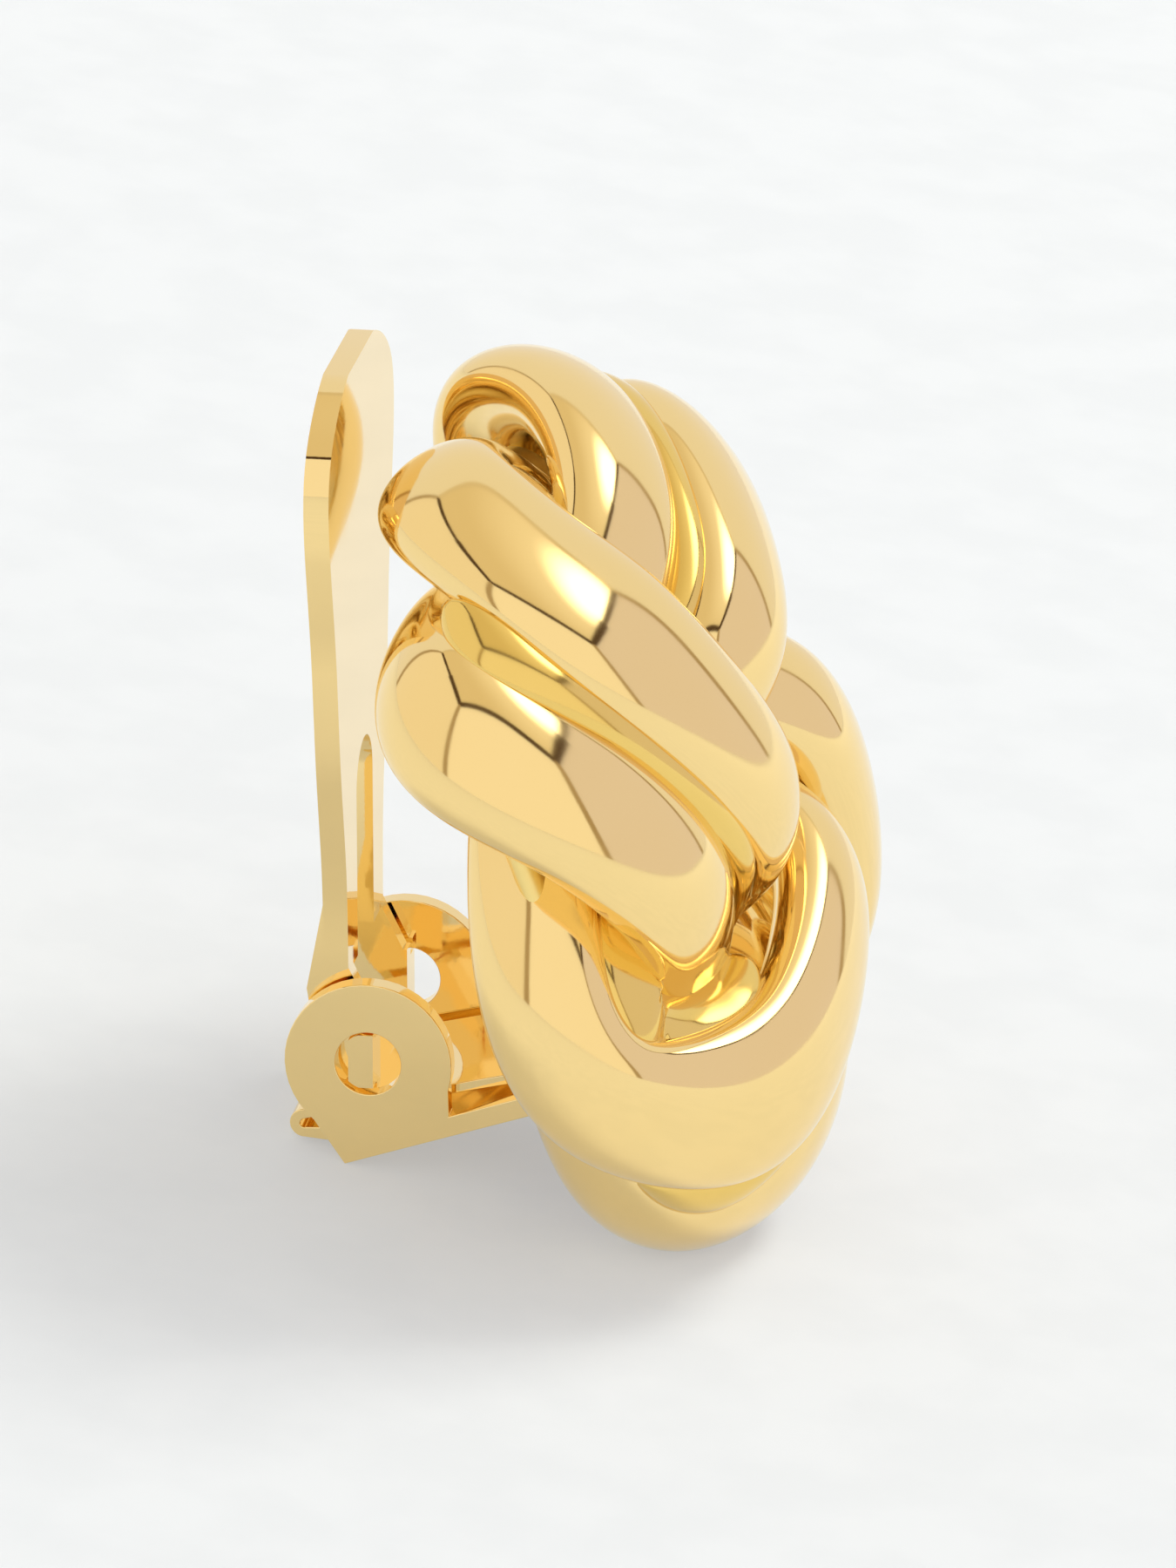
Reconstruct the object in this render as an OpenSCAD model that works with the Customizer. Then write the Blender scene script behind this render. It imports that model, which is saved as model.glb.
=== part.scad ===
// Clip-on earring: a love knot of four closed oval strands, with a sprung paddle hinged behind it.
// Millimetres. The knot faces -Y, +Z is up, and the earring stands as it rests by itself on a
// surface: on its two lowest strands and the back corners of the hinge ears.

/* [Knot] */
// Width of a strand, across its flat oval section
strand_w = 3.5; // [3:0.1:4]
// Thickness of a strand
strand_t = 2.1; // [1.8:0.05:2.5]
// Room left between strands that lie side by side or cross
strand_gap = 0.12; // [0.08:0.02:0.3]
// Turn of the knot about its own axis, anticlockwise from the front, in degrees
knot_spin = -5.5; // [-9:0.5:-2]
// Number of flats round a strand
strand_sides = 16; // [12, 14, 16]

/* [Hinge bracket] */
// Distance of the hinge axis behind the back of the knot
hinge_reach = 4.25; // [4:0.05:5.2]
// Distance of the hinge axis below the middle of the knot
hinge_drop = 4.05; // [3.6:0.05:4.6]
// Thickness of the bracket's sheet
bracket_t = 0.5; // [0.4:0.05:0.6]
// Width over the outer faces of the two ears
ear_span = 6.1; // [5.6:0.1:7]
// Radius of the hole in each ear
hole_r = 0.8; // [0.6:0.05:1]
// Wall of an ear round its hole
ear_wall = 1.23; // [1:0.05:1.5]
// Length of an ear's bottom edge behind the hinge axis
ear_heel = 1.4; // [1.2:0.05:1.6]
// Length of an ear's bottom edge in front of the hinge axis
ear_toe = 1.3; // [1.1:0.05:1.6]
// Width of the tab that is soldered to the back of the knot
tab_w = 4.6; // [3:0.1:5.4]
// Height of the soldered tab above the bottom of the base strip
tab_h = 3; // [2:0.1:3.6]

/* [Spring tongue] */
// Thickness of the spring tongue
tongue_t = 0.25; // [0.2:0.05:0.3]
// Outer radius of the bend that folds the tongue forward over the base strip
bend_r = 0.36; // [0.32:0.02:0.42]
// Distance of the bend's centre behind the hinge axis
bend_back = 2.25; // [2.1:0.05:2.5]
// Slope of the tongue, falling towards the knot, in degrees
tongue_slope = 5; // [3:0.5:6]

/* [Paddle] */
// Height of the paddle's top above the hinge axis, measured along the paddle
paddle_h = 17; // [15:0.1:18]
// Widest part of the paddle, near its top
paddle_w = 8.8; // [7.6:0.1:10]
// Width of the paddle half way up
waist_w = 6.6; // [6:0.1:7.4]
// Thickness of the paddle's sheet
paddle_t = 0.6; // [0.5:0.05:0.8]
// Lean of the paddle towards the knot, in degrees
paddle_lean = 18.7; // [16:0.1:20]
// Distance of the paddle's front face behind the hinge axis
sheet_set = 0.57; // [0.5:0.01:0.7]
// Height of the legs' cut ends above the hinge axis
leg_end = 2; // [1.8:0.1:2.4]
// Width of the slot between the two legs
slot_w = 2.2; // [1.8:0.1:2.6]
// Height of the slot's round top above the hinge axis
slot_top = 7.2; // [6:0.1:8]
// Thickness of the cheek at each side of the legs
cheek_t = 0.5; // [0.4:0.05:0.6]
// How far the cheeks flare out behind the sheet
cheek_flare = 0.42; // [0.2:0.02:0.5]
// Wall of a cheek round its lug
foot_wall = 0.2; // [0.15:0.05:0.3]
// Width of the lug that turns in each ear
lug_w = 1.35; // [1:0.05:1.4]
// Distance of the lug's middle behind the hinge axis
lug_set = 0.2; // [0.1:0.05:0.3]
// Depth of the lug's end inside the ear's outer face
lug_recess = 0.12; // [0.05:0.01:0.2]

/* [Clearances] */
// Room round the lug in the ear's hole
hinge_gap = 0.08; // [0.05:0.01:0.1]
// Room between a cheek and the ear beside it
side_gap = 0.15; // [0.1:0.01:0.2]
// Room between the foot of the cheeks and the spring tongue
foot_gap = 0.15; // [0.1:0.01:0.2]
// Height in which the tongue can bend down over the base strip
tongue_room = 0.4; // [0.35:0.05:0.6]
// Room between the tongue's free end and the soldered tab
tip_gap = 0.35; // [0.2:0.05:0.8]
// Solder line between the tab and the back of the knot
solder_gap = 0.12; // [0.08:0.01:0.2]

/* [Hidden] */
GOLD = [0.94, 0.77, 0.43];
$fn = 96;

// The strands cross over and under each other on two grids: pitches across the knot, steps through it.
// A step grows a little with the width too, because strands tilt where they cross.
pitch = strand_w + strand_gap;
step = 0.7 * strand_t + 0.18 * strand_w + strand_gap;

// One strand's route, once round its closed loop. The rows began as a least-squares fit to the knot's
// front and side, and were then rounded and changed by hand.
// [angle from the right, reach in pitches, lift in steps, width share, thickness share]
STRAND_ROWS = [
    [98, 2.25, -0.60, 0.90, 1],
    [110, 2.60, -0.65, 0.92, 1],
    [121, 2.80, -0.40, 0.95, 1],
    [131.5, 2.66, 0.30, 1.10, 1],
    [140.5, 2.42, 0.90, 1.26, 1],
    [147.5, 2.02, 1.30, 1.20, 1],
    [160, 1.40, 1.60, 1.05, 1],
    [190, 0.84, 1.70, 1, 1],
    [229, 0.70, 1.00, 0.90, 0.96],
    [260, 0.80, -0.05, 0.84, 0.96],
    [277, 1.15, -0.65, 0.84, 1],
    [292, 1.58, -0.85, 0.86, 1],
    [307, 1.95, -0.90, 0.88, 1],
    [320, 2.35, -0.95, 0.92, 1],
    [330, 2.70, -0.85, 0.98, 1],
    [339, 2.85, -0.35, 1.02, 1],
    [348, 2.58, 0.45, 1.04, 1],
    [2, 2.13, 0.88, 1.04, 1],
    [18, 1.76, 0.88, 1.02, 1],
    [38, 1.54, 0.35, 0.96, 0.98],
    [59, 1.62, -0.10, 0.90, 1],
    [80, 1.80, -0.40, 0.88, 1],
];
RINGS_PER_ROW = 4;

// The strands lie flat on a shallow ball round the knot: its radius, its half height and how far
// its centre lies behind the knot's middle plane.
ball_r = 2.2 * pitch;
ball_h = 1.56 * step;
ball_back = 0.45 * step;

// Uniform cubic B-spline: the shares of four neighbouring rows at t from 0 to 1 along a stretch
function shares(t) =
    [pow(1 - t, 3), 3 * pow(t, 3) - 6 * t * t + 4, -3 * pow(t, 3) + 3 * t * t + 3 * t + 1, pow(t, 3)] / 6;
function unit(v) = v / norm(v);
// The part of v square to a direction, at length 1
function square_to(v, along) = unit(v - (v * along) * along);
// One item of a closed list, counted round and round
function item(list, i) = list[(i + len(list)) % len(list)];

// Each row as [x, y, z, half width, half thickness]
route_rows = [
    for (row = STRAND_ROWS)
        [row[1] * pitch * cos(row[0]), -row[2] * step, row[1] * pitch * sin(row[0]),
         row[3] * strand_w / 2, row[4] * strand_t / 2]
];
stations = [
    for (i = [0:len(route_rows) - 1], k = [0:RINGS_PER_ROW - 1])
        shares(k / RINGS_PER_ROW) * [for (j = [-1:2]) item(route_rows, i + j)]
];
centres = [for (s = stations) [s.x, s.y, s.z]];
headings = [for (i = [0:len(centres) - 1]) unit(item(centres, i + 1) - item(centres, i - 1))];
// Direction of a section's thickness: out of the shallow ball
outwards = [
    for (i = [0:len(centres) - 1])
        square_to([centres[i].x / pow(ball_r, 2), (centres[i].y - ball_back) / pow(ball_h, 2),
                   centres[i].z / pow(ball_r, 2)], headings[i])
];
strand_skin = [
    for (i = [0:len(centres) - 1], j = [0:strand_sides - 1])
        let (turn = 360 * j / strand_sides)
        centres[i] + stations[i][3] * cos(turn) * cross(headings[i], outwards[i])
                   + stations[i][4] * sin(turn) * outwards[i]
];
ring_count = len(centres);
strand_faces = [
    for (i = [0:ring_count - 1], j = [0:strand_sides - 1], half = [0, 1])
        let (here = i * strand_sides, next = ((i + 1) % ring_count) * strand_sides, k = (j + 1) % strand_sides)
        half == 0 ? [here + j, here + k, next + k] : [here + j, next + k, next + j]
];

// The whole knot's skin, as it is turned on its own axis
function turned(p, angle) = [p.x * cos(angle) - p.z * sin(angle), p.y, p.x * sin(angle) + p.z * cos(angle)];
knot_skin = [for (quarter = [0:3], p = strand_skin) turned(p, knot_spin + 90 * quarter)];
knot_back = max([for (p = knot_skin) p.y]);

// Hinge and bracket, measured from the hinge axis
hinge_back = knot_back + hinge_reach;
ear_r = hole_r + ear_wall;
foot_r = hole_r + foot_wall;
tongue_top = (foot_r + foot_gap) / cos(tongue_slope);
ear_drop = tongue_top + tongue_t + tongue_room + bracket_t;
ear_inner = ear_span / 2 - bracket_t;
stem_w = 2 * (ear_inner - side_gap);
tongue_w = stem_w - 2 * side_gap;
tab_y = -hinge_reach + solder_gap;
tongue_tip = tab_y + bracket_t + tip_gap;
tongue_l = (bend_back - tongue_tip) / cos(tongue_slope);
// The tongue's top face runs tangent to the top of its bend
bend_drop = tongue_top - bend_back * tan(tongue_slope) + bend_r / cos(tongue_slope);
// A point on the bend, at an angle back from straight down, and how far the lower leg laps round it
function bend_point(r, angle) = [bend_back + r * sin(angle), -bend_drop - r * cos(angle)];
bend_lap = tongue_slope + 12;
lug_r = hole_r - hinge_gap;
lug_front = lug_set - paddle_t / 2;

// Half of the paddle's outline, from the legs' ends to the middle of its round top, as [half width, height]
stem_rise = 0.08 * paddle_h;
outline_rows = [
    [stem_w / 2, leg_end - stem_rise],
    [stem_w / 2, leg_end],
    [stem_w / 2, leg_end + stem_rise],
    [0.53 * stem_w, 0.30 * paddle_h],
    [0.49 * waist_w, 0.44 * paddle_h],
    [0.53 * waist_w, 0.60 * paddle_h],
    [0.46 * paddle_w, 0.72 * paddle_h],
    [0.51 * paddle_w, 0.82 * paddle_h],
    [0.50 * paddle_w, 0.91 * paddle_h],
    [0.34 * paddle_w, 0.97 * paddle_h],
    [0.15 * paddle_w, 1.005 * paddle_h],
    [-0.15 * paddle_w, 1.005 * paddle_h],
];
OUTLINE_STEPS = 4;
half_outline = [
    for (i = [1:len(outline_rows) - 3], k = [0:OUTLINE_STEPS - 1])
        shares(k / OUTLINE_STEPS) * [for (j = [-1:2]) outline_rows[i + j]]
];
paddle_outline = concat(half_outline,
    [for (i = [len(half_outline) - 1:-1:0]) [-half_outline[i].x, half_outline[i].y]]);
paddle_top = max([for (p = paddle_outline) p.y]);

// The earring leans back until the lowest of the bracket, an ear's back corner or the tongue's bend, is
// level with the lowest point of the knot
feet = [
    for (p = concat([[ear_heel, -ear_drop]], [for (angle = [0:5:90]) bend_point(bend_r, angle)]))
        [hinge_back + p.x, p.y - hinge_drop]
];
stand_lean = min([for (foot = feet) max([for (p = knot_skin) atan2(foot.y - p.z, foot.x - p.y)])]);
function leaned(y, z) = [y * cos(stand_lean) + z * sin(stand_lean), z * cos(stand_lean) - y * sin(stand_lean)];
floor_z = min([for (foot = feet) leaned(foot.x, foot.y)[1]]);
front_y = min([for (p = knot_skin) leaned(p.y, p.z)[0]]);
sheet_back = sheet_set + paddle_t;
back_y = leaned(hinge_back + sheet_back * cos(paddle_lean) - paddle_top * sin(paddle_lean),
                -hinge_drop + paddle_top * cos(paddle_lean) + sheet_back * sin(paddle_lean))[0];
stand_place = [0, -(front_y + back_y) / 2, -floor_z];

// From the knot's own frame, with its axis level, to the way the earring stands
module stand() {
    translate(stand_place) rotate([-stand_lean, 0, 0]) children();
}

module at_hinge() {
    translate([0, hinge_back, -hinge_drop]) children();
}

// A flat outline drawn as [back, up], given a width along the hinge axis
module across(width) {
    rotate([90, 0, 90]) linear_extrude(width, center = true) children();
}

module strand(quarter) {
    color(GOLD) stand() rotate([0, -knot_spin - 90 * quarter, 0])
        polyhedron(strand_skin, strand_faces, convexity = 6);
}

module strand_one() { strand(0); }
module strand_two() { strand(1); }
module strand_three() { strand(2); }
module strand_four() { strand(3); }

// One hinge ear: a round plate with a straight-sided skirt down to the base strip
module ear(side) {
    translate([side * (ear_span - bracket_t) / 2, 0, 0]) across(bracket_t) {
        circle(r = ear_r);
        polygon([[ear_r, 0], [ear_heel, -ear_drop], [-ear_toe, -ear_drop], [-ear_r, 0]]);
    }
}

// The strip that carries the ears, turned up in front into a tab on the back of the knot
module base_strip() {
    translate([-ear_span / 2, tab_y, -ear_drop]) cube([ear_span, ear_heel - tab_y, bracket_t]);
    translate([-tab_w / 2, tab_y, -ear_drop]) cube([tab_w, bracket_t, tab_h]);
}

// The tongue leaves the back of the base strip, folds over in a tight bend and runs forward below the hinge
module spring_tongue() {
    across(tongue_w) {
        difference() {
            translate([bend_back, -bend_drop]) circle(r = bend_r);
            translate([bend_back, -bend_drop]) circle(r = bend_r - tongue_t);
            translate([bend_back, -bend_drop]) rotate(tongue_slope) translate([-2 * bend_r, -bend_r])
                square([2 * bend_r, 2 * bend_r]);
        }
        translate([bend_back, -bend_drop]) rotate(tongue_slope)
            translate([-tongue_l, bend_r - tongue_t]) square([tongue_l, tongue_t]);
        polygon([
            bend_point(bend_r, bend_lap),
            bend_point(bend_r - tongue_t, bend_lap),
            [ear_heel - bracket_t, -ear_drop + bracket_t],
            [ear_heel - bracket_t, -ear_drop],
        ]);
    }
}

module hinge_bracket() {
    color(GOLD) stand() at_hinge() difference() {
        union() {
            ear(-1);
            ear(1);
            base_strip();
            spring_tongue();
        }
        rotate([0, 90, 0]) cylinder(h = 2 * ear_span, r = hole_r, center = true);
    }
}

// The paddle's flat sheet with its slot, standing up from the hinge
module paddle_sheet() {
    translate([0, sheet_back, 0]) rotate([90, 0, 0]) linear_extrude(paddle_t) difference() {
        polygon(paddle_outline);
        translate([0, slot_top - slot_w / 2]) circle(d = slot_w);
        translate([-slot_w / 2, 0]) square([slot_w, slot_top - slot_w / 2]);
    }
}

// A cheek bent back from the edge of each leg, which goes down to the hinge and holds the lug. Its foot
// stops level with the lug's front face, so the front of the ear's hole stays open.
module cheek(side) {
    translate([side * (stem_w - cheek_t) / 2, 0, 0]) across(cheek_t) {
        intersection() {
            circle(r = foot_r);
            translate([lug_front, -foot_r]) square(2 * foot_r);
        }
        polygon([
            [sheet_back - paddle_t / 2, 1.9 * leg_end],
            [sheet_back, 1.9 * leg_end],
            [sheet_back + cheek_flare, 0.8 * leg_end],
            [sheet_back + 0.7 * cheek_flare, 0.4 * leg_end],
            [foot_r * cos(45), -foot_r * sin(45)],
            [lug_front, 0],
            [lug_front, 0.4 * leg_end],
            [sheet_set, 1.1 * leg_end],
        ]);
    }
}

// The lug: a flat tab a little behind the axis, with its edges rounded to turn in the ear's hole
module lug(side) {
    lug_l = ear_span / 2 - lug_recess - stem_w / 2 + cheek_t;
    translate([side * (stem_w / 2 - cheek_t + lug_l / 2), 0, 0]) intersection() {
        rotate([0, 90, 0]) cylinder(h = lug_l, r = lug_r, center = true);
        translate([0, lug_set, 0]) cube([lug_l, paddle_t, lug_w], center = true);
    }
}

module clip_paddle() {
    color(GOLD) stand() at_hinge() rotate([paddle_lean, 0, 0]) {
        paddle_sheet();
        for (side = [-1, 1]) {
            cheek(side);
            lug(side);
        }
    }
}

strand_one();
strand_two();
strand_three();
strand_four();
hinge_bracket();
clip_paddle();
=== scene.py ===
"""Clip-on earring: a knot of four interlaced cast strands on a hinged paddle clip with a spring tongue.

Lengths are typed in millimetres, as in the part's source, and become metres in the meshes.
"""
import math

import bmesh
import bpy
import numpy as np
from mathutils import Matrix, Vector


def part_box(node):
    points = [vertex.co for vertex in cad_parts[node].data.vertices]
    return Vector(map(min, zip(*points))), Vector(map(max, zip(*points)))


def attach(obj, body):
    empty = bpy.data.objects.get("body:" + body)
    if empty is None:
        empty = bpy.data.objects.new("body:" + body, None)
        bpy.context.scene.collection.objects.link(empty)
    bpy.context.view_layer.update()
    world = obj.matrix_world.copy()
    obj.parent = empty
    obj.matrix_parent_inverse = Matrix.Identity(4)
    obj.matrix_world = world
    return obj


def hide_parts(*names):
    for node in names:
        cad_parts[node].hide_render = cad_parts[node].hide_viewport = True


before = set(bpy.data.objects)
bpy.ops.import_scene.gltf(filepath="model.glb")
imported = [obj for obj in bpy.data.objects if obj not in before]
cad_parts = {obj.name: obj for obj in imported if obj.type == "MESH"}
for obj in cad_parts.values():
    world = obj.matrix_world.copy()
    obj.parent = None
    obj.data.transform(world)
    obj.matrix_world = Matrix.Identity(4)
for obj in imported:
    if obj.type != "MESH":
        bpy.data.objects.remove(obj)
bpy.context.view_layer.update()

MM = 0.001
radians = math.radians

# The camera's way to the object: turned round it, raised above the horizon and rolled
cam_az, cam_el, cam_roll = radians(-84.11), radians(21.82), radians(8.34)
flat_right = np.array([math.cos(cam_az), math.sin(cam_az), 0.0])
flat_back = np.array([math.sin(cam_az), -math.cos(cam_az), 0.0])

# sizes, in millimetres
strand_w = 3.5
strand_t = 2.1
strand_gap = 0.12
knot_spin = -5.5
stand_lean = 26.56
pitch = strand_w + strand_gap
step = 0.7 * strand_t + 0.18 * strand_w + strand_gap
# The shallow ball that the strands lie flat on: radius, half height and how far back its centre is
ball_r, ball_h, ball_back = 2.2 * pitch, 1.56 * step, 0.45 * step
rings_per_row = 16
sides = 64
SQUARENESS = 2.1
# Polishing leaves the cast strands this much fuller than their solids
FULLNESS = 1.03
# The webs between paired strands: the rows that one runs along, how many rows further on the strand beside
# it is level with it, where a web leaves the one oval and meets the other in degrees, how near to their
# surfaces it starts and ends, and its thickness
WEB_ROWS = (2.6, 9.6)
WEB_STEP = 11.05
WEB_LOW, WEB_HIGH = 4, 26
WEB_START, WEB_END = 0.96, 0.93
WEB_T = 0.6
# The walls of the eyes: the rows of the loop that one hangs from, the eye's reach and turn, where the wall
# leaves the oval in degrees and how near to its surface, how deep it hangs, how far it slants to the eye, and
# its thickness
WALL_ROWS = (-1.6, 5.4)
EYE_R, EYE_TURN = 8.2, 112.6
WALL_LOW, WALL_START = 10, 0.93
WALL_DEPTH, WALL_SLANT = 1.9, 0.25
WALL_T = 0.6
# The inner ring: middle radius, depth behind the knot's middle plane, width across and thickness
RING_R, RING_DEPTH = 7.5, 0.9
RING_W, RING_T = 2.3, 1.0
RING_STATIONS, RING_SIDES = 128, 32
SLIM_SIDES = 24
# Sheet metal: how near to each other points are merged, and how far its edges are rounded
MERGE_WITHIN = 0.002
BRACKET_EASE, PADDLE_EASE = 0.05, 0.08
# In degrees: faces that differ by less are made one, and edges that turn by more are rounded
FLAT_WITHIN, SHARP_FROM = 1, 40

# One strand's course round the knot, with the part's own rows. They began as a least-squares fit and were
# then rounded and changed. Seen from the front: angle from the right, reach in pitches, lift towards
# the front in steps, and the strand's width and thickness as shares of the named ones
STRAND_ROWS = np.array([
    (98, 2.25, -0.60, 0.90, 1.00), (110, 2.60, -0.65, 0.92, 1.00), (121, 2.80, -0.40, 0.95, 1.00),
    (131.5, 2.66, 0.30, 1.10, 1.00), (140.5, 2.42, 0.90, 1.26, 1.00), (147.5, 2.02, 1.30, 1.20, 1.00),
    (160, 1.40, 1.60, 1.05, 1.00), (190, 0.84, 1.70, 1.00, 1.00), (229, 0.70, 1.00, 0.90, 0.96),
    (260, 0.80, -0.05, 0.84, 0.96), (277, 1.15, -0.65, 0.84, 1.00), (292, 1.58, -0.85, 0.86, 1.00),
    (307, 1.95, -0.90, 0.88, 1.00), (320, 2.35, -0.95, 0.92, 1.00), (330, 2.70, -0.85, 0.98, 1.00),
    (339, 2.85, -0.35, 1.02, 1.00), (348, 2.58, 0.45, 1.04, 1.00), (2, 2.13, 0.88, 1.04, 1.00),
    (18, 1.76, 0.88, 1.02, 1.00), (38, 1.54, 0.35, 0.96, 0.98), (59, 1.62, -0.10, 0.90, 1.00),
    (80, 1.80, -0.40, 0.88, 1.00),
])


# surfaces
def unit(v):
    """Each row vector at length 1."""
    return v / np.linalg.norm(v, axis=-1, keepdims=True)


def closed_curve(rows, steps):
    """Closed uniform cubic B-spline: at t from 0 to 1 between two rows the point is
    ((1-t)^3 A + (3t^3-6t^2+4) B + (-3t^3+3t^2+3t+1) C + t^3 D) / 6, A to D being four neighbouring rows."""
    t = np.arange(steps) / steps
    shares = np.stack([(1 - t) ** 3, 3 * t**3 - 6 * t**2 + 4, -3 * t**3 + 3 * t**2 + 3 * t + 1, t**3], 1)
    shares = shares / 6
    four = np.stack([np.roll(rows, 1 - j, 0) for j in range(4)], 1)
    return np.einsum("sj,rjc->rsc", shares, four).reshape(-1, rows.shape[1])


def strand_course():
    """One strand's course in the knot's frame: its middle line, its two half sizes, and at each station the
    direction across it and the one out of the shallow ball, (x/R^2, (y-c)/H^2, z/R^2) made square to it."""
    angle, reach, lift, wide, thick = STRAND_ROWS.T
    turn = np.radians(angle)
    rows = np.stack([reach * pitch * np.cos(turn), -lift * step, reach * pitch * np.sin(turn),
                     wide * strand_w / 2, thick * strand_t / 2], 1)
    course = closed_curve(rows, rings_per_row)
    centre, half_w, half_t = course[:, :3], course[:, 3:4], course[:, 4:5]
    heading = unit(np.roll(centre, -1, 0) - np.roll(centre, 1, 0))
    outward = (centre - (0, ball_back, 0)) / (ball_r**2, ball_h**2, ball_r**2)
    outward = unit(outward - (outward * heading).sum(1)[:, None] * heading)
    return centre, half_w, half_t, np.cross(heading, outward), outward


def oval(centre, wide, tall, across, outward, count, squareness=2.0):
    """A full oval carried along a course: centre + wide C(u) across + tall S(u) outward, where C and S are
    cos(u) and sin(u) raised to the power 2/squareness with their signs kept."""
    u = np.linspace(0, 2 * np.pi, count, endpoint=False)
    c, s = (np.sign(f) * np.abs(f) ** (2 / squareness) for f in (np.cos(u), np.sin(u)))
    sideways, upwards = (wide * c)[..., None], (tall * s)[..., None]
    return centre[:, None] + sideways * across[:, None] + upwards * outward[:, None]


def strand_grid(quarter):
    """The strand's oval section carried along its course, turned to its quarter of the knot."""
    centre, half_w, half_t, across, outward = strand_course()
    grid = oval(centre, FULLNESS * half_w, FULLNESS * half_t, across, outward, sides, SQUARENESS)
    return standing(turned(grid, knot_spin + 90 * quarter))


def web_grid(quarter):
    """The flank that runs from a strand's inner run down to the strand beside it, half a turn on: a slim oval
    from a point low on one oval to a point high on the other, smaller towards both ends."""
    centre, half_w, half_t, across, outward = strand_course()
    here = np.arange(round(WEB_ROWS[0] * rings_per_row), round(WEB_ROWS[1] * rings_per_row))
    there = (here + round(WEB_STEP * rings_per_row)) % len(centre)
    flip = np.array([-1.0, 1.0, -1.0])
    c1, s1, n1 = centre[here], across[here], outward[here]
    c2, s2, n2 = centre[there] * flip, across[there] * flip, outward[there] * flip
    side1 = np.sign(((c2 - c1) * s1).sum(1))[:, None]
    side2 = np.sign(((c1 - c2) * s2).sum(1))[:, None]
    low, high = radians(WEB_LOW), radians(WEB_HIGH)
    start = c1 + WEB_START * (half_w[here] * math.cos(low) * side1 * s1 + half_t[here] * math.sin(low) * n1)
    end = c2 + WEB_END * (half_w[there] * math.cos(high) * side2 * s2 + half_t[there] * math.sin(high) * n2)
    return standing(turned(slim_oval(start, end, n1 + n2, WEB_T), knot_spin + 90 * quarter))


def slim_oval(start, end, facing, thickness):
    """A slim oval section from one line of points to another, its broad side turned to facing. It gets
    smaller towards both ends by sqrt(1 - (1 - 6t)^2), t being the share of the run from the nearer end, up to
    a sixth, and keeps a little size at the very end."""
    middle, over = (start + end) / 2, (end - start) / 2
    heading = unit(np.gradient(middle, axis=0))
    out = unit(np.cross(over, heading))
    out *= np.sign((out * facing).sum(1))[:, None]
    t = np.linspace(0, 1, len(start))[:, None]
    swell = np.sqrt(1 - np.clip(1 - 6 * np.minimum(t, 1 - t), 0, 0.999) ** 2)
    return oval(middle, np.linalg.norm(over, axis=1)[:, None] * swell, thickness / 2 * swell,
                unit(np.cross(heading, out)), out, SLIM_SIDES)


def eye_wall_grid(quarter):
    """The wall of an eye: it hangs from the inner flank of the loop round that eye, away from the front and a
    little towards the eye's middle."""
    centre, half_w, half_t, across, outward = strand_course()
    here = np.arange(round(WALL_ROWS[0] * rings_per_row), round(WALL_ROWS[1] * rings_per_row)) % len(centre)
    turn = radians(EYE_TURN)
    eye = EYE_R * np.array([math.cos(turn), 0.0, math.sin(turn)])
    c, n = centre[here], outward[here]
    inward = across[here] * np.sign(((eye - c) * across[here]).sum(1).mean())
    low = radians(WALL_LOW)
    start = c + WALL_START * (half_w[here] * math.cos(low) * inward - half_t[here] * math.sin(low) * n)
    end = start + WALL_DEPTH * unit(WALL_SLANT * inward - n)
    return standing(turned(slim_oval(start, end, inward, WALL_T), knot_spin + 90 * quarter))


def inner_ring_grid():
    """The plain ring inside the knot that closes its four eyes from behind: an oval section carried round the
    knot's axis at one reach and depth."""
    turn = np.linspace(0, 2 * np.pi, RING_STATIONS, endpoint=False)
    away = np.stack([np.cos(turn), 0 * turn, np.sin(turn)], 1)
    behind = np.tile([0.0, 1.0, 0.0], (RING_STATIONS, 1))
    wide, tall = (np.full((RING_STATIONS, 1), size / 2) for size in (RING_W, RING_T))
    return standing(oval(RING_R * away + RING_DEPTH * behind, wide, tall, away, behind, RING_SIDES))


def turned(p, degrees):
    """p turned round the knot's own axis, anticlockwise from the front."""
    c, s = math.cos(radians(degrees)), math.sin(radians(degrees))
    return np.stack([p[..., 0] * c - p[..., 2] * s, p[..., 1], p[..., 0] * s + p[..., 2] * c], -1)


def standing(p):
    """p leaned back from the knot's own frame to the way the earring rests."""
    c, s = math.cos(radians(stand_lean)), math.sin(radians(stand_lean))
    return np.stack([p[..., 0], p[..., 1] * c + p[..., 2] * s, p[..., 2] * c - p[..., 1] * s], -1)


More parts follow.
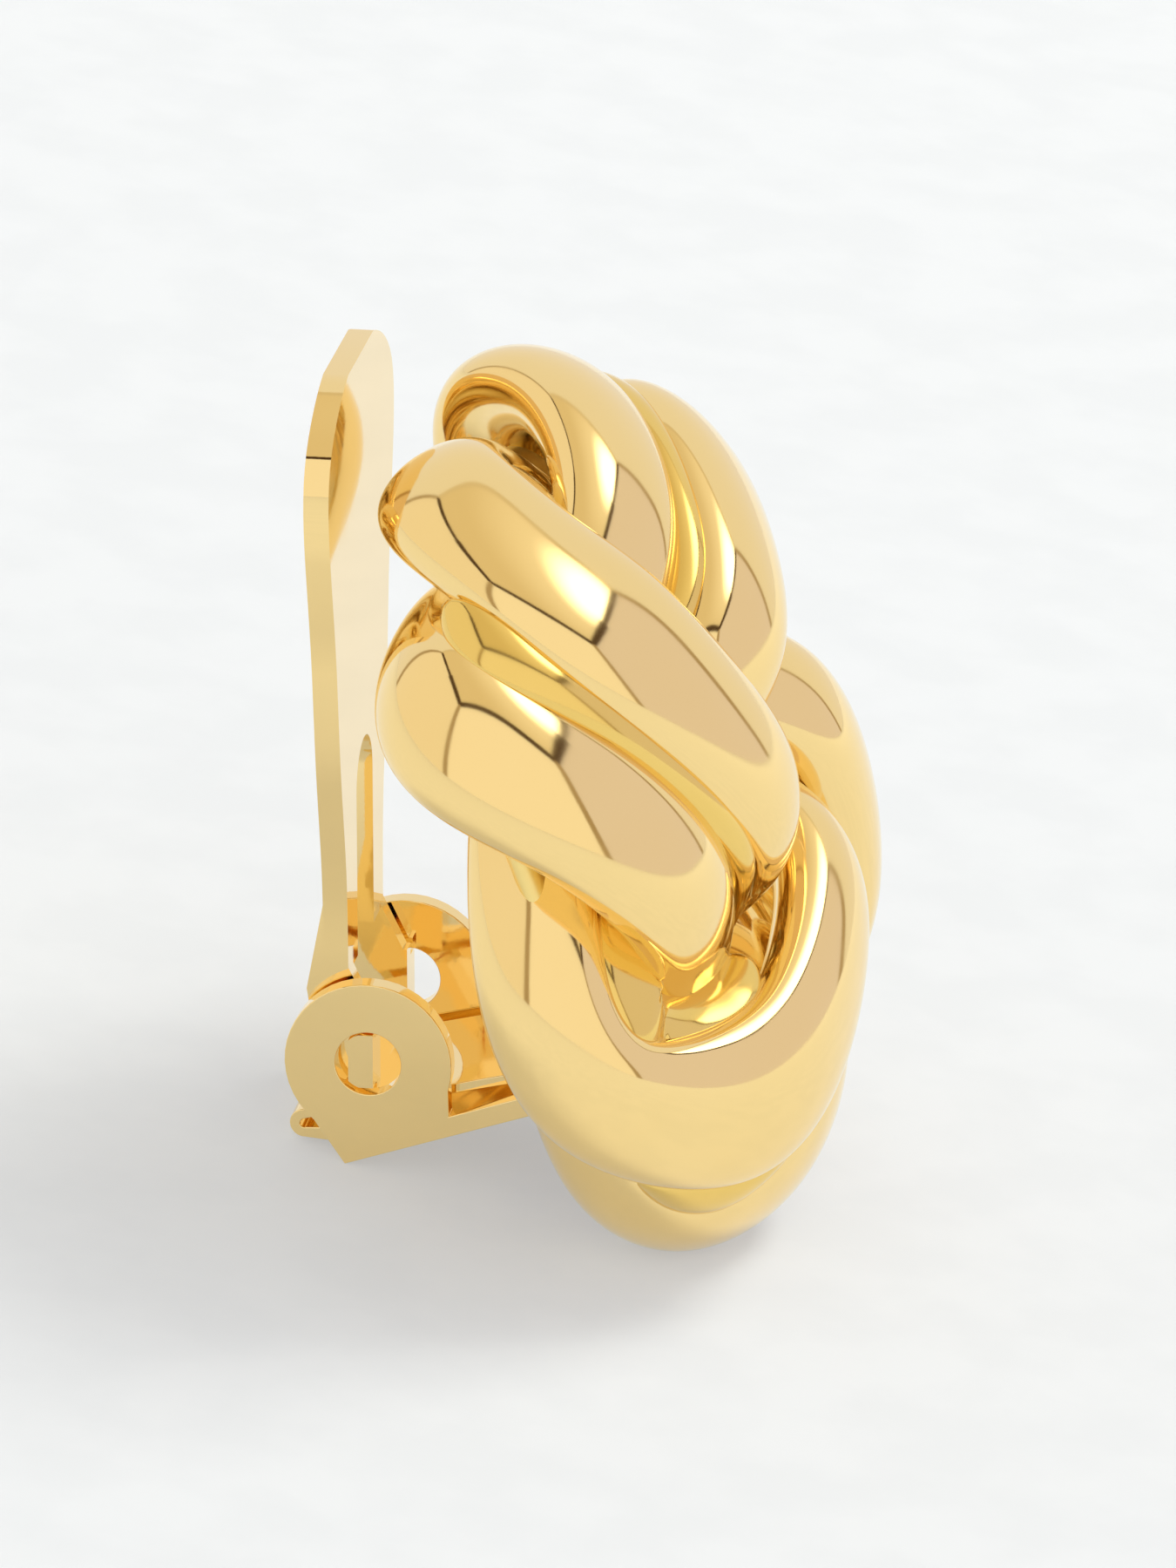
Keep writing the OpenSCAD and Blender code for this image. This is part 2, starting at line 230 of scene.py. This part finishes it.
def ring_surface(name, grid, endless=True):
    """A mesh from a grid of points that closes on itself round each section, its faces pointing outwards. An
    endless one closes along its course too; the other has a flat face at each end."""
    rings, around = grid.shape[:2]
    i, j = np.meshgrid(np.arange(rings if endless else rings - 1), np.arange(around), indexing="ij")
    i2, j2 = (i + 1) % rings, (j + 1) % around
    quads = np.stack([i * around + j, i2 * around + j, i2 * around + j2, i * around + j2], -1).reshape(-1, 4)
    mesh = bpy.data.meshes.new(name)
    corners, starts = quads.ravel(), np.arange(0, quads.size, 4)
    if not endless:
        first, last = np.arange(around), (rings - 1) * around + np.arange(around)[::-1]
        corners = np.concatenate([corners, first, last])
        starts = np.concatenate([starts, [quads.size, quads.size + around]])
    mesh.vertices.add(rings * around)
    mesh.vertices.foreach_set("co", grid.reshape(-1, 3).astype(np.float32).ravel())
    mesh.loops.add(len(corners))
    mesh.loops.foreach_set("vertex_index", corners.astype(np.int32))
    mesh.polygons.add(len(starts))
    mesh.polygons.foreach_set("loop_start", starts.astype(np.int32))
    mesh.polygons.foreach_set("use_smooth", np.ones(len(starts), bool))
    mesh.update(calc_edges=True)
    mesh.validate()
    return mesh


def eased_copy(name, node, ease):
    """The node's sheet metal with its doubles merged, its flat faces made whole and its edges rounded."""
    bm = bmesh.new()
    bm.from_mesh(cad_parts[node].data)
    bmesh.ops.scale(bm, vec=(1 / MM,) * 3, verts=bm.verts)
    bmesh.ops.remove_doubles(bm, verts=bm.verts, dist=MERGE_WITHIN)
    bmesh.ops.dissolve_limit(bm, angle_limit=radians(FLAT_WITHIN), verts=bm.verts, edges=bm.edges)
    sharp = [e for e in bm.edges if len(e.link_faces) == 2 and e.calc_face_angle(0) > radians(SHARP_FROM)]
    bmesh.ops.bevel(bm, geom=sharp, offset=ease, offset_type="OFFSET", segments=3, profile=0.5,
                    affect="EDGES", clamp_overlap=True)
    bmesh.ops.scale(bm, vec=(MM,) * 3, verts=bm.verts)
    mesh = bpy.data.meshes.new(name)
    bm.to_mesh(mesh)
    bm.free()
    mesh.polygons.foreach_set("use_smooth", np.ones(len(mesh.polygons), bool))
    mesh.update()
    flat_normals(mesh)
    return mesh


def flat_normals(mesh):
    """Vertex normals weighted by face area, so that broad faces look flat up to their rounded edges."""
    count = len(mesh.polygons)
    area, normal, total = np.zeros(count), np.zeros(count * 3), np.zeros(count, int)
    mesh.polygons.foreach_get("area", area)
    mesh.polygons.foreach_get("normal", normal)
    mesh.polygons.foreach_get("loop_total", total)
    corner = np.zeros(len(mesh.loops), int)
    mesh.loops.foreach_get("vertex_index", corner)
    weighted = np.repeat(normal.reshape(-1, 3) * area[:, None], total, axis=0)
    summed = np.zeros((len(mesh.vertices), 3))
    np.add.at(summed, corner, weighted)
    # The tiny addition keeps a corner without faces from dividing by nothing
    mesh.normals_split_custom_set_from_vertices(unit(summed + 1e-20))


# materials
def wired(tree, kind, inputs=(), **settings):
    """A new node with its settings and its inputs: a value is typed in, a socket is linked."""
    node = tree.nodes.new(kind)
    for key, value in settings.items():
        setattr(node, key, value)
    for key, value in dict(inputs).items():
        if isinstance(value, bpy.types.NodeSocket):
            tree.links.new(value, node.inputs[key])
        else:
            node.inputs[key].default_value = value
    return node


def blended(tree, share, first, second):
    """A colour between first and second, by share."""
    mix = wired(tree, "ShaderNodeMix", {0: share, 6: first, 7: second}, data_type="RGBA")
    return mix.outputs[2]


def math_of(tree, operation, *values):
    """The output of one Math node."""
    return wired(tree, "ShaderNodeMath", dict(enumerate(values)), operation=operation).outputs[0]


def new_group(name, inputs):
    """A shader node group with named inputs, each with the kind of its socket, and the sockets they give."""
    group = bpy.data.node_groups.new(name, "ShaderNodeTree")
    for label, kind in inputs:
        group.interface.new_socket(label, in_out="INPUT", socket_type="NodeSocket" + kind)
    return group, group.nodes.new("NodeGroupInput").outputs


def put_out(group, kind, results):
    """The group with its results wired to outputs of their names, all of one kind."""
    for label in results:
        group.interface.new_socket(label, in_out="OUTPUT", socket_type="NodeSocket" + kind)
    out = group.nodes.new("NodeGroupOutput")
    for label, socket in results.items():
        group.links.new(socket, out.inputs[label])
    return group


def polish_group():
    """Hand polish on cast or sheet metal: soft unevenness, cloudy gloss and fine rubbed lines."""
    group, given = new_group("hand_polish", (("Vector", "Vector"), ("Unevenness", "Float"),
                                             ("Rubbing", "Float"), ("Gloss Low", "Float"),
                                             ("Gloss High", "Float")))
    cloud = wired(group, "ShaderNodeTexNoise", {"Vector": given["Vector"], "Scale": 420.0, "Detail": 3.0})
    swell = wired(group, "ShaderNodeTexNoise", {"Vector": given["Vector"], "Scale": 240.0, "Detail": 1.0})
    long_way = wired(group, "ShaderNodeMapping", {"Vector": given["Vector"], "Scale": (900, 9000, 9000)})
    lines = wired(group, "ShaderNodeTexNoise", {"Vector": long_way.outputs[0], "Scale": 1.0, "Detail": 4.0})
    rough = wired(group, "ShaderNodeMapRange", {"Value": cloud.outputs[0], "From Min": 0.35, "From Max": 0.65,
                                                "To Min": given["Gloss Low"], "To Max": given["Gloss High"]})
    uneven = math_of(group, "MULTIPLY", swell.outputs[0], given["Unevenness"])
    rubbed = math_of(group, "MULTIPLY", lines.outputs[0], given["Rubbing"])
    height = math_of(group, "ADD", uneven, rubbed)
    return put_out(group, "Float", {"Roughness": rough.outputs[0], "Height": height,
                                    "Cloud": cloud.outputs[0]})


def tone_group():
    """Gold's colour. On the first two surfaces that a ray from the camera meets it drifts between a light and
    a deep tone. From the third on it is a paler painted tone, painted light that keeps the light mirrored to
    and fro in the grooves brighter and amber."""
    group, given = new_group("gold_tone", (("Cloud", "Float"), ("Bounces", "Float"), ("Light", "Color"),
                                           ("Deep", "Color"), ("Painted Bounce", "Color")))
    own_tone = blended(group, given["Cloud"], given["Light"], given["Deep"])
    many = math_of(group, "GREATER_THAN", given["Bounces"], BOUNCES_BEFORE_PAINT)
    return put_out(group, "Color", {"Color": blended(group, many, own_tone, given["Painted Bounce"])})


def gold(name, polish, tones, light, deep, gloss, unevenness, rubbing):
    """Polished gold plate: two tones of it, its roughness from low to high, how uneven it is and how much its
    rubbed lines show."""
    material = bpy.data.materials.new(name)
    material.use_nodes = True
    tree = material.node_tree
    tree.nodes.clear()
    place = wired(tree, "ShaderNodeTexCoord").outputs["Object"]
    bounces = wired(tree, "ShaderNodeLightPath").outputs["Glossy Depth"]
    polished = wired(tree, "ShaderNodeGroup", {"Vector": place, "Unevenness": unevenness, "Rubbing": rubbing,
                                               "Gloss Low": gloss[0], "Gloss High": gloss[1]},
                     node_tree=polish).outputs
    # The tone group paints the light of rays mirrored more than twice in a paler tone than the gold's own
    tone = wired(tree, "ShaderNodeGroup", {"Cloud": polished["Cloud"], "Bounces": bounces, "Light": light,
                                           "Deep": deep, "Painted Bounce": PAINTED_BOUNCE_TONE},
                 node_tree=tones).outputs["Color"]
    bump = wired(tree, "ShaderNodeBump", {"Strength": 1.0, "Distance": BUMP_DEPTH,
                                          "Height": polished["Height"]}).outputs[0]
    metal = wired(tree, "ShaderNodeBsdfPrincipled", {"Base Color": tone, "Metallic": 1.0, "Normal": bump,
                                                     "Roughness": polished["Roughness"]})
    wired(tree, "ShaderNodeOutputMaterial", {"Surface": metal.outputs[0]})
    return material


def floor_material():
    """Matt pale paper on a table that is lit a little from below."""
    material = bpy.data.materials.new("pale_floor")
    material.use_nodes = True
    tree = material.node_tree
    tree.nodes.clear()
    place = wired(tree, "ShaderNodeTexCoord").outputs["Object"]
    grain = wired(tree, "ShaderNodeTexNoise", {"Vector": place, "Scale": 300.0, "Detail": 3.0})
    tone = wired(tree, "ShaderNodeMapRange", {"Value": grain.outputs[0], "From Min": 0.4, "From Max": 0.6})
    colour = blended(tree, tone.outputs[0], (0.475, 0.482, 0.46, 1), (0.495, 0.502, 0.48, 1))
    paper = wired(tree, "ShaderNodeBsdfPrincipled", {"Base Color": colour, "Roughness": 0.9,
                                                     "Emission Color": (0.80, 0.87, 1.0, 1),
                                                     "Emission Strength": 0.37})
    wired(tree, "ShaderNodeOutputMaterial", {"Surface": paper.outputs[0]})
    return material


# Gold shows its paler painted tone, painted light, to a ray that has been mirrored more times than this
BOUNCES_BEFORE_PAINT = 1.5
# Painted light in the grooves: the tone gold takes from the third mirroring on, paler than its own
PAINTED_BOUNCE_TONE = (0.96, 0.89, 0.70, 1)
# Depth of the polish's unevenness, in metres
BUMP_DEPTH = 0.00001
polish, tones = polish_group(), tone_group()
knot_gold = gold("knot_gold", polish, tones, light=(0.99, 0.745, 0.335, 1), deep=(0.98, 0.725, 0.31, 1),
                 gloss=(0.06, 0.11), unevenness=1.0, rubbing=0.02)
# Painted shade: the webs and eye walls down in the grooves get a darker, deeper gold than the strands
groove_gold_painted_shade = gold("groove_gold_painted_shade", polish, tones, light=(0.93, 0.66, 0.20, 1), deep=(0.90, 0.62, 0.17, 1),
                   gloss=(0.10, 0.16), unevenness=1.0, rubbing=0.02)
satin_gold = gold("satin_gold", polish, tones, light=(0.99, 0.77, 0.30, 1), deep=(0.97, 0.74, 0.27, 1),
                  gloss=(0.34, 0.42), unevenness=1.0, rubbing=0.05)
clip_gold = gold("clip_gold", polish, tones, light=(0.99, 0.75, 0.35, 1), deep=(0.98, 0.73, 0.32, 1),
                 gloss=(0.03, 0.06), unevenness=0.4, rubbing=0.04)


# pieces
def add_piece(name, mesh, material, body, node=None):
    """Puts a piece in the scene, on its body and with its slot; it may replace a node of the CAD."""
    piece = bpy.data.objects.new(name, mesh)
    bpy.context.scene.collection.objects.link(piece)
    mesh.materials.append(material)
    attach(piece, body)
    if node:
        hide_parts(node)


STRANDS = ("strand_one", "strand_two", "strand_three", "strand_four")
grids = np.stack([strand_grid(quarter) for quarter in range(4)]) * MM
# The four strands together sit where the CAD knot sits
corners = np.array([[list(corner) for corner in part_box(node)] for node in STRANDS])
cad_middle = (corners[:, 0].min(0) + corners[:, 1].max(0)) / 2
own_middle = (grids.reshape(-1, 3).min(0) + grids.reshape(-1, 3).max(0)) / 2
knot_place = cad_middle - own_middle
for node, grid in zip(STRANDS, grids):
    mesh = ring_surface(node + "_polished", grid + knot_place)
    add_piece(node + "_polished", mesh, knot_gold, "knot", node)
# The webs and eye walls take the darker gold of painted shade
for quarter in range(4):
    mesh = ring_surface(f"strand_web_{quarter + 1}", web_grid(quarter) * MM + knot_place, endless=False)
    add_piece(mesh.name, mesh, groove_gold_painted_shade, "knot")
    mesh = ring_surface(f"eye_wall_{quarter + 1}", eye_wall_grid(quarter) * MM + knot_place, endless=False)
    add_piece(mesh.name, mesh, groove_gold_painted_shade, "knot")

mesh = ring_surface("knot_inner_ring", inner_ring_grid() * MM + knot_place)
add_piece(mesh.name, mesh, satin_gold, "knot")

bracket = eased_copy("hinge_bracket_sheet", "hinge_bracket", BRACKET_EASE)
add_piece("hinge_bracket_sheet", bracket, clip_gold, "knot", "hinge_bracket")
paddle = eased_copy("clip_paddle_sheet", "clip_paddle", PADDLE_EASE)
add_piece("clip_paddle_sheet", paddle, clip_gold, "paddle", "clip_paddle")

# floor, its side in metres
FLOOR_SIDE = 4.0
bpy.ops.mesh.primitive_plane_add(size=FLOOR_SIDE, location=(0, 0, 0))
floor = bpy.context.object
floor.name = "pale_floor"
floor.data.materials.append(floor_material())


# light
def light_tent():
    """A square cloth tent round the object, squared to the camera: four walls and a roof, each with its own
    tone, and thin dark seams where two of them meet. The panel seen is the one that the ray's direction
    reaches first: the one of the greatest of a, b and c, its share along an axis over that panel's reach."""
    world = bpy.data.worlds.new("light_tent")
    bpy.context.scene.world = world
    world.use_nodes = True
    tree = world.node_tree
    tree.nodes.clear()
    way = wired(tree, "ShaderNodeTexCoord").outputs["Generated"]

    def along(axis):
        product = wired(tree, "ShaderNodeVectorMath", {0: way, 1: axis.tolist()}, operation="DOT_PRODUCT")
        return product.outputs["Value"]

    def worked(operation, *values):
        return math_of(tree, operation, *values)

    def falling(value, span, course="LINEAR"):
        """1 up to the span's start and 0 from its end."""
        fall = wired(tree, "ShaderNodeMapRange", {"Value": value, "From Min": span[0], "From Max": span[1],
                                                  "To Min": 1.0, "To Max": 0.0}, interpolation_type=course)
        return fall.outputs[0]

    side, front, rise = along(flat_right), along(flat_back), along(np.array([0.0, 0.0, 1.0]))
    on_left, in_front = worked("LESS_THAN", side, 0.0), worked("GREATER_THAN", front, 0.0)
    nearer = worked("ADD", worked("MULTIPLY", on_left, 1 / LEFT_REACH - 1 / RIGHT_REACH), 1 / RIGHT_REACH)
    a = worked("MULTIPLY", worked("ABSOLUTE", side), nearer)
    b = worked("ABSOLUTE", front)
    c = worked("DIVIDE", worked("MAXIMUM", rise, 0.0), TENT_HEIGHT)
    first = worked("MAXIMUM", worked("MAXIMUM", a, b), c)
    least = worked("MINIMUM", worked("MINIMUM", a, b), c)
    total = worked("ADD", worked("ADD", a, b), c)
    second = worked("SUBTRACT", worked("SUBTRACT", total, first), least)
    near_seam = worked("DIVIDE", worked("SUBTRACT", first, second), first)
    # A seam in front is wider than the others
    widening = worked("MULTIPLY", in_front, 1 - 1 / FRONT_SEAM)
    near_seam = worked("MULTIPLY", near_seam, worked("SUBTRACT", 1.0, widening))

    cross = blended(tree, worked("GREATER_THAN", side, 0.0), LEFT_PANEL, RIGHT_PANEL)
    ahead = blended(tree, in_front, BACK_PANEL, FRONT_PANEL)
    walls = blended(tree, worked("GREATER_THAN", a, b), ahead, cross)
    high = worked("MAXIMUM", rise, LEAST_RISE)
    off_side = worked("SUBTRACT", worked("DIVIDE", side, high), PATCH[0])
    off_front = worked("SUBTRACT", worked("DIVIDE", front, high), PATCH[1])
    off = worked("SQRT", worked("ADD", worked("MULTIPLY", off_side, off_side),
                                  worked("MULTIPLY", off_front, off_front)))
    cloth = blended(tree, falling(off, PATCH_GLOW, "SMOOTHSTEP"), ROOF_DIM, ROOF_BRIGHT)
    roof = blended(tree, falling(off, PATCH_EDGE, "SMOOTHSTEP"), cloth, ROOF_PATCH)
    panels = blended(tree, worked("GREATER_THAN", c, worked("MAXIMUM", a, b)), walls, roof)
    upright = worked("LESS_THAN", c, worked("MINIMUM", a, b))
    behind = worked("MULTIPLY", worked("LESS_THAN", front, 0.0), worked("GREATER_THAN", b, a))
    seam = blended(tree, upright, blended(tree, behind, SEAM, BACK_SEAM), CORNER_SEAM)
    colour = blended(tree, falling(near_seam, SEAM_HALF), panels, seam)
    glow = wired(tree, "ShaderNodeBackground", {"Color": colour, "Strength": 1.0})
    wired(tree, "ShaderNodeOutputWorld", {"Surface": glow.outputs[0]})


def strip_lamp(name, place, size, power, colour):
    """A soft rectangular lamp under the roof, its long side along the camera's way, looking at the knot."""
    lamp = bpy.data.lights.new(name, "AREA")
    lamp.shape, lamp.size, lamp.size_y, lamp.energy, lamp.color = "RECTANGLE", size[0], size[1], power, colour
    holder = bpy.data.objects.new(name, lamp)
    bpy.context.scene.collection.objects.link(holder)
    away = unit(place)
    long_way = unit(flat_back - (flat_back @ away) * away)
    axes = np.stack([long_way, np.cross(away, long_way), away], 1)
    holder.matrix_world = Matrix.Translation(place.tolist()) @ Matrix(axes.tolist()).to_4x4()
    holder.visible_glossy = False


# How far off the roof and the left and right walls are, when the front and back walls are at a reach of one
TENT_HEIGHT = 1.69
LEFT_REACH, RIGHT_REACH = 1.35, 1.30
FRONT_PANEL = (0.97, 0.94, 0.90, 1)
BACK_PANEL = (0.85, 0.84, 0.84, 1)
LEFT_PANEL = (0.90, 0.85, 0.77, 1)
RIGHT_PANEL = (0.78, 0.74, 0.84, 1)
ROOF_DIM = (0.76, 0.67, 0.50, 1)
ROOF_BRIGHT = (0.98, 0.93, 0.83, 1)
ROOF_PATCH = (3.4, 3.35, 3.25, 1)
# The lamp's patch on the roof, for a rise of one: its middle to the right and to the front, where its edge
# starts and ends, and where the glow round it does. Lower down the rise counts as at least this
PATCH = (0.60, -0.24)
PATCH_EDGE, PATCH_GLOW = (0.15, 0.48), (0.25, 1.05)
LEAST_RISE = 0.05
# Seams: how far from a panel's edge they are full and gone; their tone under the roof, at the upright corners
# and between the roof and the back wall; and how many times as wide those in front are
SEAM_HALF = (0.034, 0.062)
SEAM = (0.06, 0.03, 0.012, 1)
CORNER_SEAM = (0.42, 0.33, 0.22, 1)
BACK_SEAM = (0.70, 0.62, 0.48, 1)
FRONT_SEAM = 1.6
light_tent()
# The lamp's place and size in metres, its power in watts and its colour
LAMP_PLACE = flat_right * 0.32 - flat_back * 0.30 + np.array([0, 0, 0.60])
LAMP_SIZE, LAMP_POWER = (0.36, 0.22), 2.4
LAMP_COLOUR = (0.97, 0.99, 1.0)
strip_lamp("strip_lamp", LAMP_PLACE, LAMP_SIZE, LAMP_POWER, LAMP_COLOUR)

# camera
distance = 250 * MM
pixels_per_mm = 48.0
centre = np.array([0.0, 0.0, 9.6]) * MM
back = flat_back * math.cos(cam_el) + np.array([0.0, 0.0, math.sin(cam_el)])
up = np.cross(back, flat_right)
right_r = flat_right * math.cos(cam_roll) + up * math.sin(cam_roll)
up_r = up * math.cos(cam_roll) - flat_right * math.sin(cam_roll)
camera_data = bpy.data.cameras.new("camera")
# The image is 1350 by 1800, and the sensor's width lies along its longer side
SENSOR_WIDTH, LONG_SIDE = 36.0, 1800
camera_data.sensor_width = SENSOR_WIDTH
camera_data.lens = pixels_per_mm / MM * distance / LONG_SIDE * SENSOR_WIDTH
camera_data.clip_start, camera_data.clip_end = 0.01, 10.0
camera = bpy.data.objects.new("camera", camera_data)
bpy.context.scene.collection.objects.link(camera)
axes = Matrix(np.stack([right_r, up_r, back], 1).tolist()).to_4x4()
camera.matrix_world = Matrix.Translation((centre + back * distance).tolist()) @ axes
bpy.context.scene.camera = camera

bpy.context.scene.view_settings.view_transform = "Standard"
# Light in the grooves goes to and fro between polished strands many times
bpy.context.scene.cycles.max_bounces = 32
bpy.context.scene.cycles.glossy_bounces = 24
